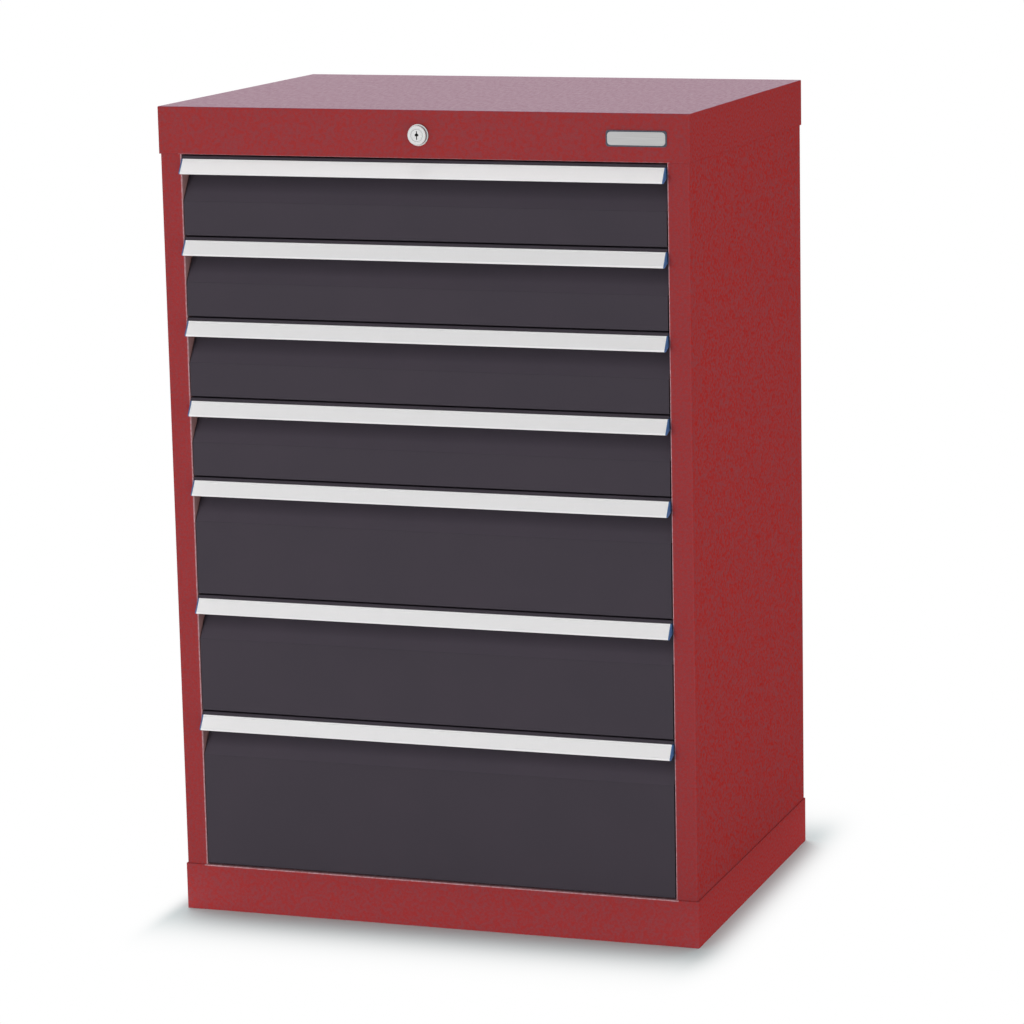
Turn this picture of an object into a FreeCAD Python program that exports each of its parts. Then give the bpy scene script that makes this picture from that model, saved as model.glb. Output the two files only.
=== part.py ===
"""Steel drawer cabinet with seven drawers, a cylinder lock and a lock bar, in millimetres.

X points to the right, Y to the back and Z up, seen from the front. The origin is on the floor, in the
middle of the whole cabinet with its handles.
"""

import FreeCAD, Part
import math
import os

from FreeCAD import Vector

# Cabinet
width = 680.0                                         # over the cap and the plinth
depth = 500.0                                         # over the cap and the plinth
plinth_height = 59.0
cap_height = 58.0
modules = [100.0, 100.0, 100.0, 100.0, 150.0, 150.0, 200.0]     # drawers, from the top one down
stack_gap = 1.0                                       # over and under the stack of drawers
sheet = 1.5                                           # carcass steel
back_sheet = 1.0
bend_radius = 0.6                                     # inside radius of the folds
corner_radius = 1.4                                   # upright corners of cap and plinth
top_radius = 1.2                                      # round the cap's top
post_width = 27.5                                     # front face of a post, beside the opening
post_depth = 26.5
post_lip = 14.0
rear_flange = 20.0
foot_flange = 25.0                                    # flange that stands on the floor
pan_flange = 20.0                                     # turned-down edges of the floor panel
cross_rail_depth = 38.0
cross_rail_lip = 9.0

# Back panel rivets
rivet_diameter = 4.0
rivet_head_diameter = 8.0
rivet_head_height = 1.2
rivet_head_round = 0.8
rivet_tail_length = 2.5
rivet_pitch = 110.0
rivet_edge = 10.0                                     # from the edge of the side panel's rear flange

# Drawers
front_sheet = 1.2
tray_sheet = 1.0
front_inset = 0.5                                     # front face behind the face of the posts
front_side_gap = 1.2
front_end_gap = 0.8                                   # over and under each front
recess_drop = 57.0                                    # from a module's top to the foot of the finger recess
recess_depth = 22.8
recess_lean = 33.0                                    # degrees from the vertical
front_lip = 4.0                                       # short edge that the handle hangs from
tray_lift = 6.0                                       # tray floor over the module's foot
tray_top_gap = 14.0                                   # tray walls under the module's top
tray_hem = 5.0
rear_space = 68.0                                     # room behind the trays for the lock bar
divider_pitch = 25.0
divider_slot = 1.6
divider_margin = 12.0                                 # slot ends to the tray's floor and hem

# Handles, an extruded aluminium profile
handle_face = 20.4                                    # width of the sloping face
handle_lean = 33.0                                    # degrees from the vertical
handle_wall = 2.2
handle_flange = 15.0                                  # under the front's top shelf
handle_end_gap = 1.0                                  # beside the posts
end_cap = 1.5                                         # plastic plate that closes each end
end_cap_rise = 5.0                                    # of its lower edge, from the bead to the back
bead_radius = 1.3                                     # round lower edge for the fingers
top_rim = 1.8
bottom_rim = 0.2                                      # flat between the channel and the bead
label_depth = 0.9                                     # channel in the face
label_sheet = 0.6
label_clearance = 0.1

# Runners: a fixed rail, a carriage with rollers and a runner on the tray
runner_space = 10.0                                   # between a tray and the opening's edge
runner_lift = 32.0                                    # runner flange over the module's foot
runner_web = 1.5
runner_web_height = 22.0
runner_flange = 2.0
rail_sheet = 1.5
carriage_sheet = 1.4
carriage_shortfall = 101.5                            # carriage shorter than its rail
side_clearance = 0.6                                  # beside moving strips
roller_diameter = 13.4
roller_clearance = 0.3
roller_count = 6
roller_margin = 12.0
axle_diameter = 5.0
axle_clearance = 0.05
axle_head_diameter = 8.0
axle_head = 0.6
end_clearance = 0.5                                   # ends of rails and runners

# Slotted uprights
upright_width = 40.0
upright_setback = 22.0                                # from the posts, and from the rails' rear ends
upright_head_gap = 12.5                               # under the cap
slot_pitch = 25.0
slot_length = 14.0
slot_width = 5.0
tab_clearance = 0.5
tab_reach = 4.0

# Lock
lock_rise = 28.0                                      # its axis over the cap's lower edge
lock_collar_diameter = 26.4
lock_collar = 1.5
lock_face_diameter = 23.6
lock_face = 4.4                                       # face in front of the collar
lock_body_diameter = 19.0
lock_body = 20.0                                      # behind the cap's front
lock_hole_clearance = 0.1
plug_diameter = 15.0
plug_clearance = 0.05
plug_collar = 1.7
plug_collar_diameter = 17.6
plug_end_play = 0.3
plug_setback = 0.3                                    # plug face behind the case's face
key_round = 4.4
key_slot_width = 1.5
key_slot_height = 10.4
key_depth = 11.0
nut_across_flats = 24.0
nut_height = 4.5
shaft_diameter = 6.0
shaft_clearance = 0.05
cam_radius = 11.0
cam_sheet = 3.0
cam_pin_diameter = 5.0
cam_pin_clearance = 0.35                              # takes up the pin's arc in the bar's slot
bar_travel = 10.0                                     # for a quarter turn of the key
bar_width = 30.0
bar_sheet = 3.0
bar_setback = 36.0                                    # bar behind the trays
bar_clearance = 0.3
bar_foot = 15.0                                       # bar's foot over the plinth
bar_head = 12.0                                       # bar's head over the lock's axis
cam_gap = 1.0
catch_lift = 60.0                                     # catch plate over the module's foot
catch_reach = 20.0
catch_width = 16.0
catch_sheet = 2.0
catch_tooth = 10.0
catch_flange = 12.0                                   # on the tray's rear wall
hook_sheet = 3.0
hook_setback = 12.0                                   # a hook's tooth behind the tray
hook_tooth_width = 4.0
hook_drop = 2.0                                       # hooks under the catches, unlocked
hook_arm = 8.0
guide_height = 20.0
guide_wall = 8.0
guide_front = 3.5
guide_mouth = 18.0
guide_lift = 70.0                                     # guides over the foot of their module
bearing_width = 20.0
bearing_length = 10.0
bearing_drop = 10.0                                   # bearing block under the shaft's axis

# Plate on the cap's front
plate_width = 75.5
plate_height = 19.5
plate_sheet = 1.2
plate_corner = 3.5
plate_end_gap = 28.0                                  # to the cap's right side

# Places that follow from the sizes
lean_sine = math.sin(math.radians(handle_lean))
lean_cosine = math.cos(math.radians(handle_lean))
handle_reach = (handle_face - bead_radius) * lean_sine + bead_radius * (1 - lean_cosine)
height = plinth_height + 2 * stack_gap + sum(modules) + cap_height
front = -(depth + handle_reach) / 2 + handle_reach    # plane of the cap's front
back = front + depth
cap_foot = height - cap_height
body_half = width / 2 - sheet
inner_half = body_half - sheet
opening_half = body_half - post_width
post_front = front + sheet
post_back = post_front + post_depth
panel_back = back - sheet
back_inner = panel_back - sheet - back_sheet
front_half = opening_half - front_side_gap
front_face = post_front + front_inset
tray_front = front_face + recess_depth + front_sheet
tray_back = back_inner - rear_space
tray_half = opening_half - runner_space
carriage_outer = opening_half - side_clearance
carriage_inner = carriage_outer - carriage_sheet
runner_tip = carriage_inner - side_clearance
rail_web = opening_half + end_clearance
upright_inner = rail_web + rail_sheet
rail_front = post_back + end_clearance
rail_back = tray_back + end_clearance + rail_sheet
upright_top = cap_foot - upright_head_gap
lock_z = cap_foot + lock_rise
bar_front = tray_back + bar_setback
bar_back = bar_front + bar_sheet
roller_space = roller_diameter + 2 * roller_clearance
module_feet = [cap_foot - stack_gap - sum(modules[:i + 1]) for i in range(len(modules))]
near = 0.01                                           # for finding edges by their place


def block(x0, x1, y0, y1, z0, z1):
    """A box between two corners."""
    return Part.makeBox(x1 - x0, y1 - y0, z1 - z0, Vector(x0, y0, z0))


def rod_y(x, z, diameter, y0, y1):
    """A round bar along Y."""
    return Part.makeCylinder(diameter / 2, y1 - y0, Vector(x, y0, z), Vector(0, 1, 0))


def rod_x(y, z, diameter, x0, x1):
    """A round bar along X."""
    return Part.makeCylinder(diameter / 2, x1 - x0, Vector(x0, y, z), Vector(1, 0, 0))


def joined(shapes):
    """One solid from pieces that are welded or folded from one sheet."""
    return shapes[0].fuse(shapes[1:]).removeSplitter()


def mirrored(shape):
    """The same piece for the other side of the cabinet."""
    return shape.mirror(Vector(0, 0, 0), Vector(1, 0, 0))


def both_sides(shape):
    """A piece and its mirror image."""
    return [shape, mirrored(shape)]


def bend(before, corner, after, radius):
    """Start, middle and end of the arc that rounds a corner."""
    to_start = (before - corner).normalize()
    to_end = (after - corner).normalize()
    half = to_start.getAngle(to_end) / 2
    reach = radius / math.tan(half)
    middle = (to_start + to_end).normalize()
    centre = corner + middle * (radius / math.sin(half))
    return corner + to_start * reach, centre - middle * radius, corner + to_end * reach


def rounded_edges(points, radii):
    """Lines and arcs along points, each inner point rounded by its radius."""
    edges = []
    start = points[0]
    for i in range(1, len(points) - 1):
        a, b, c = bend(points[i - 1], points[i], points[i + 1], radii[i - 1])
        edges.append(Part.LineSegment(start, a).toShape())
        edges.append(Part.Arc(a, b, c).toShape())
        start = c
    edges.append(Part.LineSegment(start, points[-1]).toShape())
    return edges


def folded(points, thickness, sweep):
    """A sheet folded along points on its outer face, with the steel on the right of the path."""
    along = [(points[i + 1] - points[i]).normalize() for i in range(len(points) - 1)]
    right = [a.cross(sweep) for a in along]
    inner = [points[0] + right[0] * thickness]
    outer_radii = []
    inner_radii = []
    for i in range(1, len(points) - 1):
        bisector = (right[i - 1] + right[i]).normalize()
        inner.append(points[i] + bisector * (thickness / bisector.dot(right[i])))
        steel_inside = along[i - 1].cross(along[i]).dot(sweep) < 0
        outer_radii.append(bend_radius + thickness if steel_inside else bend_radius)
        inner_radii.append(bend_radius if steel_inside else bend_radius + thickness)
    inner.append(points[-1] + right[-1] * thickness)
    edges = rounded_edges(points, outer_radii)
    edges.append(Part.LineSegment(points[-1], inner[-1]).toShape())
    edges.extend(rounded_edges(inner[::-1], inner_radii[::-1]))
    edges.append(Part.LineSegment(inner[0], points[0]).toShape())
    return Part.Face(Part.Wire(Part.__sortEdges__(edges)))


def folded_along_z(plan, thickness, z0, z1):
    """A folded sheet with its section in plan, between two heights."""
    face = folded([Vector(x, y, z0) for x, y in plan], thickness, Vector(0, 0, 1))
    return face.extrude(Vector(0, 0, z1 - z0))


def folded_along_x(section, thickness, x0, x1):
    """A folded sheet with its section seen from the side, as points (y, z)."""
    face = folded([Vector(x0, y, z) for y, z in section], thickness, Vector(1, 0, 0))
    return face.extrude(Vector(x1 - x0, 0, 0))


def folded_along_y(section, thickness, y0, y1):
    """A folded sheet with its section seen from the front, as points (x, z)."""
    face = folded([Vector(x, y0, z) for x, z in section], thickness, Vector(0, 1, 0))
    return face.extrude(Vector(0, y1 - y0, 0))


def save(node, solids):
    """Writes one node."""
    shape = solids[0] if len(solids) == 1 else Part.makeCompound(solids)
    shape.exportStep("parts/" + node + ".step")


def rivet_heights():
    """Heights of the rivets along each edge of the back panel."""
    span = cap_foot - plinth_height - 2 * rivet_pitch / 2
    count = max(2, round(span / rivet_pitch) + 1)
    step = span / (count - 1)
    return [plinth_height + rivet_pitch / 2 + i * step for i in range(count)]


def rivet_side():
    """How far from the middle the rivets sit."""
    return body_half - rear_flange + rivet_edge


def rivet_holes():
    """Shanks that pass through the back panel and the side panels' rear flanges."""
    y0 = back_inner - rivet_tail_length
    return [rod_y(s * rivet_side(), z, rivet_diameter, y0, back) for z in rivet_heights() for s in (-1, 1)]


def side_panel():
    """The right side panel with its post, from one folded sheet."""
    plan = [
        (body_half - rear_flange, panel_back),
        (body_half, panel_back),
        (body_half, post_front),
        (opening_half, post_front),
        (opening_half, post_back),
        (opening_half + post_lip, post_back),
    ]
    panel = folded_along_z(plan, sheet, sheet, height - sheet)
    return panel.cut(rivet_holes())


def back_panel():
    """A flat sheet between the side panels, inside their rear flanges."""
    half = inner_half - bend_radius
    panel = block(-half, half, back_inner, back_inner + back_sheet, sheet, height - sheet)
    return panel.cut(rivet_holes())


def outer_edges(shape, direction):
    """Edges on the outline of the cabinet that run along a direction."""
    found = []
    for edge in shape.Edges:
        middle = edge.CenterOfMass
        along = edge.tangentAt(edge.FirstParameter).cross(direction).Length < near
        on_side = abs(abs(middle.x) - width / 2) < near
        on_end = min(abs(middle.y - front), abs(middle.y - back)) < near
        if along and on_side and on_end:
            found.append(edge)
    return found


def top_cap():
    """The lid: a top with four aprons that reach down over the carcass."""
    shell = block(-width / 2, width / 2, front, back, cap_foot, height)
    hollow = block(-body_half, body_half, post_front, panel_back, cap_foot, height - sheet)
    shell = shell.makeFillet(corner_radius, outer_edges(shell, Vector(0, 0, 1)))
    rim = [e for e in shell.Edges if e.BoundBox.ZMin > height - near]
    shell = shell.makeFillet(top_radius, rim)
    return shell.cut([hollow, lock_hole()])


def lock_hole():
    """The hole for the lock's body through the cap and the cross rail."""
    diameter = lock_body_diameter + 2 * lock_hole_clearance
    return rod_y(0, lock_z, diameter, front - sheet, post_front + 2 * sheet)


def base_plinth():
    """The skirt under the carcass, with a flange turned in on the floor."""
    shell = block(-width / 2, width / 2, front, back, 0, plinth_height)
    shell = shell.makeFillet(corner_radius, outer_edges(shell, Vector(0, 0, 1)))
    room = block(-body_half, body_half, post_front, panel_back, sheet, plinth_height)
    hole_half = body_half - foot_flange
    hole = block(-hole_half, hole_half, post_front + foot_flange, panel_back - foot_flange, 0, sheet)
    return shell.cut([room, hole])


def floor_panel():
    """The pan under the lowest drawer, notched round the two posts."""
    top = plinth_height
    under = top - sheet
    rear = block(-inner_half, inner_half, post_back, back_inner, under, top)
    mouth = block(-opening_half, opening_half, post_front, post_back, under, top)
    lip = block(-opening_half, opening_half, post_front, post_front + sheet, under - pan_flange, under)
    tail = block(-inner_half, inner_half, back_inner - sheet, back_inner, under - pan_flange, under)
    side = block(inner_half - sheet, inner_half, post_back, back_inner - sheet, under - pan_flange, under)
    return joined([rear, mouth, lip, tail] + both_sides(side))


def upper_cross_rail():
    """A folded rail between the posts, behind the cap's front apron."""
    section = [
        (post_front, height - sheet),
        (post_front, cap_foot),
        (post_front + cross_rail_depth, cap_foot),
        (post_front + cross_rail_depth, cap_foot + cross_rail_lip),
    ]
    rail = folded_along_x(section[::-1], sheet, -opening_half, opening_half)
    return rail.cut([lock_hole()])


def slot_heights():
    """Heights of the slots, which hold a rail's tab at each drawer's runner."""
    heights = []
    for foot, module in zip(module_feet, modules):
        count = int(module // slot_pitch)
        heights.extend(foot + runner_lift + i * slot_pitch for i in range(count))
    return [z for z in heights if z + slot_length / 2 < upright_top]


def upright_places():
    """Front faces of the front and the rear uprights."""
    return [post_back + upright_setback, rail_back - upright_setback - upright_width]


def upright(y0):
    """A channel on the right side panel, with slots for the rails' tabs."""
    y1 = y0 + upright_width
    plan = [(inner_half, y0), (upright_inner, y0), (upright_inner, y1), (inner_half, y1)]
    channel = folded_along_z(plan, sheet, plinth_height, upright_top)
    middle = y0 + upright_width / 2
    slots = []
    for z in slot_heights():
        slots.append(
            block(
                upright_inner - sheet, upright_inner + 2 * sheet,
                middle - slot_width / 2, middle + slot_width / 2,
                z - slot_length / 2, z + slot_length / 2,
            )
        )
    return channel.cut(slots)


def cabinet_rail(foot):
    """The fixed rail of one drawer on the right, with tabs that hang in the uprights."""
    z = foot + runner_lift
    half = runner_flange / 2 + roller_space + rail_sheet
    inner = tray_half + runner_web + side_clearance
    section = [
        (inner, z - half),
        (rail_web + rail_sheet, z - half),
        (rail_web + rail_sheet, z + half),
        (inner, z + half),
    ]
    channel = folded_along_y(section, rail_sheet, rail_front, rail_back)
    lap = rail_sheet / 2
    stop = block(inner, rail_web + lap, rail_back - rail_sheet, rail_back, z - half + lap, z + half - lap)
    tabs = []
    for y0 in upright_places():
        middle = y0 + upright_width / 2
        tab_half = slot_width / 2 - tab_clearance
        tabs.append(
            block(
                upright_inner - lap, upright_inner + tab_reach,
                middle - tab_half, middle + tab_half,
                z - slot_length / 2 + 2 * tab_clearance, z + slot_length / 2 - 2 * tab_clearance,
            )
        )
    return joined([channel, stop] + tabs)


def runner(foot):
    """The runner on the right wall of a tray."""
    z = foot + runner_lift
    start = tray_front + tray_sheet + end_clearance
    web = block(tray_half, tray_half + runner_web, start, tray_back, z - runner_web_height / 2,
                z + runner_web_height / 2)
    flange = block(tray_half, runner_tip, start, tray_back, z - runner_flange / 2, z + runner_flange / 2)
    return joined([web, flange])


def carriage(foot):
    """The right carriage of a drawer: a strip with riveted axles, and its rollers."""
    z = foot + runner_lift
    start = rail_front + end_clearance
    length = rail_back - rail_front - carriage_shortfall
    half = runner_flange / 2 + roller_space - side_clearance
    strip = block(carriage_inner, carriage_outer, start, start + length, z - half, z + half)
    offset = runner_flange / 2 + roller_space / 2
    head_inner = tray_half + runner_web + roller_clearance
    roller_inner = head_inner + axle_head
    axles = []
    rollers = []
    for i in range(roller_count):
        y = start + roller_margin + i * (length - 2 * roller_margin) / (roller_count - 1)
        axis_z = z - offset if i % 2 == 0 else z + offset
        axles.append(rod_x(y, axis_z, axle_diameter, head_inner, carriage_inner + carriage_sheet / 2))
        axles.append(rod_x(y, axis_z, axle_head_diameter, head_inner, roller_inner))
        wheel = rod_x(y, axis_z, roller_diameter, roller_inner, carriage_inner)
        bore = rod_x(y, axis_z, axle_diameter + 2 * axle_clearance, roller_inner, carriage_inner)
        rollers.append(wheel.cut([bore]))
    return [joined([strip] + axles)] + rollers


def divider_slots(foot, module):
    """Slots for dividers in the four walls of a tray."""
    z0 = foot + tray_lift + tray_sheet + divider_margin
    z1 = foot + module - tray_top_gap - divider_margin
    half = divider_slot / 2
    usable_half = tray_half - tray_sheet
    usable_front = tray_front + tray_sheet
    usable_depth = tray_back - tray_sheet - usable_front
    slots = []
    across = int(2 * usable_half // divider_pitch)
    for i in range(1, across):
        x = -across * divider_pitch / 2 + i * divider_pitch
        walls = [tray_front] if abs(x) < catch_width else [tray_front, tray_back]
        for wall in walls:
            slots.append(block(x - half, x + half, wall - 2 * tray_sheet, wall + 2 * tray_sheet, z0, z1))
    along = int(usable_depth // divider_pitch)
    for i in range(1, along):
        y = usable_front + (usable_depth - along * divider_pitch) / 2 + i * divider_pitch
        for side in (-1, 1):
            wall = side * tray_half
            slots.append(block(wall - 2 * tray_sheet, wall + 2 * tray_sheet, y - half, y + half, z0, z1))
    return slots


def tray(foot, module):
    """The welded sheets of a tray: the pan, the face plate that carries the front, and the rear wall."""
    z0 = foot + tray_lift
    z1 = foot + module - tray_top_gap
    y0 = tray_front + tray_sheet
    y1 = tray_back - tray_sheet
    floor = block(-tray_half, tray_half, y0, y1, z0, z0 + tray_sheet)
    wall = block(tray_half - tray_sheet, tray_half, y0, y1, z0, z1)
    hem = block(tray_half - tray_sheet, tray_half + tray_hem, y0, y1, z1 - tray_sheet, z1)
    pan = joined([floor] + both_sides(wall) + both_sides(hem))
    face_top = foot + module - front_end_gap - front_sheet
    face = block(-front_half, front_half, tray_front, y0, foot + front_end_gap, face_top)
    rear = block(-tray_half, tray_half, y1, tray_back, z0, z1)
    return [piece.cut(divider_slots(foot, module)) for piece in (pan, face, rear)]


def catch(foot):
    """The bracket welded behind a tray: a flange on the wall, a plate and a turned-down tooth."""
    half = catch_width / 2
    end = tray_back + catch_reach
    z = foot + catch_lift
    flange = block(-half, half, tray_back, tray_back + catch_sheet, z, z + catch_flange)
    plate = block(-half, half, tray_back, end, z, z + catch_sheet)
    tooth = block(-half, half, end - catch_sheet, end, z - catch_tooth, z + catch_sheet)
    return joined([flange, plate, tooth])


def front_section(foot, module):
    """The folds of a drawer front, from its bottom edge up to the lip over the handle."""
    top = foot + module
    recess_foot = top - recess_drop
    recess_head = recess_foot + recess_depth / math.tan(math.radians(recess_lean))
    return [
        (tray_front, foot + front_end_gap),
        (front_face, foot + front_end_gap),
        (front_face, recess_foot),
        (front_face + recess_depth, recess_head),
        (front_face + recess_depth, top - front_end_gap - front_sheet),
        (front_face + front_sheet, top - front_end_gap - front_sheet),
        (front_face + front_sheet, top - front_end_gap - front_lip),
    ]


def drawer_front(foot, module):
    """One folded sheet: face, finger recess, top shelf and lip, with flanges behind its ends."""
    skin = folded_along_x(front_section(foot, module), front_sheet, -front_half, front_half)
    flange = block(front_half - front_sheet, front_half, front_face + front_sheet, tray_front,
                   foot + front_end_gap + front_sheet, foot + module - recess_drop)
    return joined([skin] + both_sides(flange))


def handle_frame(foot, module):
    """Top corner of a handle's sloping face, and the directions down it and out of it."""
    lean = math.radians(handle_lean)
    corner = Vector(0, front, foot + module - front_end_gap - front_lip)
    down = Vector(0, -math.sin(lean), -math.cos(lean))
    out = Vector(0, -math.cos(lean), math.sin(lean))
    return corner, down, out


def extruded(points, half_length):
    """A straight profile along X through a closed outline."""
    wire = Part.makePolygon(points + [points[0]])
    profile = Part.Face(wire)
    profile.translate(Vector(-half_length, 0, 0))
    return profile.extrude(Vector(2 * half_length, 0, 0))


def label_channel():
    """Where the label channel starts and ends on the handle's face."""
    return top_rim, handle_face - 2 * bead_radius - bottom_rim


def rail_half():
    """Half the length of the aluminium rail between its end caps."""
    return opening_half - handle_end_gap - end_cap


def handle(foot, module):
    """The handle: a flange under the front's shelf, a sloping face and a round lower bead."""
    corner, down, out = handle_frame(foot, module)
    half = rail_half()
    shelf_z = foot + module - front_end_gap - front_sheet
    lip_z = corner.z
    lip_back = front_face + front_sheet
    low = handle_face - bead_radius
    start, end = label_channel()
    wall_top = Vector(0, lip_back + handle_wall, shelf_z - handle_wall)
    points = [
        corner,
        corner + down * start,
        corner + down * start - out * label_depth,
        corner + down * end - out * label_depth,
        corner + down * end,
        corner + down * low,
        corner + down * low - out * handle_wall,
        wall_top,
        Vector(0, lip_back + handle_flange, shelf_z - handle_wall),
        Vector(0, lip_back + handle_flange, shelf_z),
        Vector(0, lip_back + bend_radius, shelf_z),
        Vector(0, lip_back, shelf_z - bend_radius),
        Vector(0, lip_back, lip_z),
    ]
    bead_centre = corner + down * low - out * bead_radius
    bead = Part.makeCylinder(bead_radius, 2 * half, bead_centre - Vector(half, 0, 0), Vector(1, 0, 0))
    return joined([extruded(points, half), bead])


def end_caps(foot, module):
    """Plates on the rail's two ends, which also close the hollow behind the sloping face."""
    corner, down, out = handle_frame(foot, module)
    shelf_z = foot + module - front_end_gap - front_sheet
    lip_back = front_face + front_sheet
    low = handle_face - bead_radius
    rear = lip_back + handle_wall + bend_radius
    bead_back = corner + down * low - out * (2 * bead_radius)
    bead_foot = corner + down * handle_face - out * bead_radius
    points = [
        corner,
        corner + down * low,
        bead_foot,
        bead_back,
        Vector(0, rear, bead_back.z + end_cap_rise),
        Vector(0, rear, shelf_z),
        Vector(0, lip_back + bend_radius, shelf_z),
        Vector(0, lip_back, shelf_z - bend_radius),
        Vector(0, lip_back, corner.z),
    ]
    plate = extruded(points, end_cap / 2)
    plate.translate(Vector(rail_half() + end_cap / 2, 0, 0))
    return both_sides(plate)


def label_strip(foot, module):
    """The strip in the handle's channel."""
    corner, down, out = handle_frame(foot, module)
    start, end = label_channel()
    floor = -out * label_depth
    points = [
        corner + down * (start + label_clearance) + floor,
        corner + down * (end - label_clearance) + floor,
        corner + down * (end - label_clearance) + floor + out * label_sheet,
        corner + down * (start + label_clearance) + floor + out * label_sheet,
    ]
    return extruded(points, rail_half() - label_clearance)


def rivets():
    """Blind rivets with round heads outside, all round the back panel's edges."""
    made = []
    for z in rivet_heights():
        for side in (-1, 1):
            x = side * rivet_side()
            shank = rod_y(x, z, rivet_diameter, back_inner - rivet_tail_length, panel_back)
            head = rod_y(x, z, rivet_head_diameter, panel_back, panel_back + rivet_head_height)
            rim = [e for e in head.Edges if e.BoundBox.YMin > panel_back + rivet_head_height / 2]
            made.append(joined([shank, head.makeFillet(rivet_head_round, rim)]))
    return made


def lock_case():
    """The fixed part of the lock: collar, face ring and the threaded body behind the front."""
    collar = rod_y(0, lock_z, lock_collar_diameter, front - lock_collar, front)
    face = rod_y(0, lock_z, lock_face_diameter, front - lock_collar - lock_face, front - lock_collar)
    body = rod_y(0, lock_z, lock_body_diameter, front, front + lock_body)
    bore_diameter = plug_diameter + 2 * plug_clearance
    bore = rod_y(0, lock_z, bore_diameter, front - lock_collar - lock_face, front + lock_body)
    return joined([collar, face, body]).cut([bore])


def lock_nut():
    """The hexagon nut that clamps the lock to the cross rail."""
    y0 = post_front + sheet
    corner = nut_across_flats / math.sqrt(3)
    points = []
    for i in range(6):
        angle = math.radians(60 * i)
        points.append(Vector(corner * math.cos(angle), y0, lock_z + corner * math.sin(angle)))
    hexagon = Part.Face(Part.makePolygon(points + [points[0]])).extrude(Vector(0, nut_height, 0))
    return hexagon.cut([rod_y(0, lock_z, lock_body_diameter, y0, y0 + nut_height)])


def lock_cylinder():
    """The turning plug with its keyhole, held behind the case by a collar."""
    face_y = front - lock_collar - lock_face + plug_setback
    rear_y = front + lock_body + plug_end_play
    plug = rod_y(0, lock_z, plug_diameter, face_y, rear_y)
    collar = rod_y(0, lock_z, plug_collar_diameter, rear_y, rear_y + plug_collar)
    key = rod_y(0, lock_z, key_round, face_y, face_y + key_depth)
    slot_half = key_slot_width / 2
    slot_foot = lock_z - key_slot_height / 2
    slot = block(-slot_half, slot_half, face_y, face_y + key_depth, slot_foot, slot_foot + key_slot_height)
    return joined([plug, collar]).cut([key, slot])


def shaft_ends():
    """Where the lock's shaft leaves the plug, and where it ends in the cam."""
    start = front + lock_body + plug_end_play + plug_collar
    return start, bar_front - cam_gap


def lock_shaft():
    """The rod from the plug back to the cam."""
    start, end = shaft_ends()
    return rod_y(0, lock_z, shaft_diameter, start, end)


def cam_pin_offset():
    """How far left of the shaft, and below it, the pin stands when the drawers are free."""
    return bar_travel / 2


def lock_cam():
    """The disc at the shaft's end, with the pin that lifts the bar."""
    start, end = shaft_ends()
    offset = cam_pin_offset()
    disc = rod_y(0, lock_z, 2 * cam_radius, end - cam_sheet, end)
    pin = rod_y(-offset, lock_z - offset, cam_pin_diameter, end - cam_sheet / 2, bar_back + cam_gap)
    return joined([disc, pin]).cut([rod_y(0, lock_z, shaft_diameter, end - cam_sheet, end)])


def bar_hook(foot):
    """The hook welded on the bar that holds one drawer's catch when the bar is up."""
    half = hook_sheet / 2
    tooth_top = foot + catch_lift - catch_tooth - hook_drop
    arm_top = tooth_top - catch_tooth
    start = tray_back + hook_setback
    arm = block(-half, half, start, bar_front, arm_top - hook_arm, arm_top)
    tooth = block(-half, half, start, start + hook_tooth_width, arm_top - hook_arm, tooth_top)
    return joined([arm, tooth])


def lock_bar():
    """The upright bar behind the trays, with a slot for the cam's pin."""
    half = bar_width / 2
    bar = block(-half, half, bar_front, bar_back, plinth_height + bar_foot, lock_z + bar_head)
    offset = cam_pin_offset()
    room = cam_pin_diameter / 2 + cam_pin_clearance
    far = offset * math.sqrt(2) + room
    slot = block(-far, -offset + room, bar_front, bar_back, lock_z - offset - room, lock_z - offset + room)
    return bar.cut([slot])


def guide(foot):
    """A moulded block on the back panel in which the bar slides."""
    z0 = foot + guide_lift
    z1 = z0 + guide_height
    half = bar_width / 2 + bar_clearance
    channel_front = bar_front - bar_clearance
    start = channel_front - guide_front
    body = block(-half - guide_wall, half + guide_wall, start, back_inner, z0, z1)
    channel = block(-half, half, channel_front, bar_back + bar_clearance, z0, z1)
    mouth = block(-guide_mouth / 2, guide_mouth / 2, start, bar_front, z0, z1)
    return body.cut([channel, mouth])


def shaft_bearing():
    """The block under the cap's top that carries the rear end of the shaft."""
    start, end = shaft_ends()
    y1 = end - cam_sheet - cam_gap
    y0 = y1 - bearing_length
    half = bearing_width / 2
    body = block(-half, half, y0, y1, lock_z - bearing_drop, height - sheet)
    return body.cut([rod_y(0, lock_z, shaft_diameter + 2 * shaft_clearance, y0, y1)])


def name_plate():
    """The plain plate on the cap's front."""
    x1 = width / 2 - plate_end_gap
    body = block(x1 - plate_width, x1, front - plate_sheet, front, lock_z - plate_height / 2,
                 lock_z + plate_height / 2)
    corners = [e for e in body.Edges if abs(e.BoundBox.YLength - plate_sheet) < near]
    return body.makeFillet(plate_corner, corners)


def save_drawer(name, foot, module):
    """Writes the nodes of one drawer."""
    save(name + "tray", tray(foot, module) + [catch(foot)])
    save(name + "front", [drawer_front(foot, module)])
    save(name + "handle", [handle(foot, module)] + end_caps(foot, module))
    save(name + "label_strip", [label_strip(foot, module)])
    save(name + "runners", both_sides(runner(foot)))
    right_carriage = carriage(foot)
    save(name + "carriages", right_carriage + [mirrored(solid) for solid in right_carriage])


os.makedirs("parts", exist_ok=True)

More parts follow.
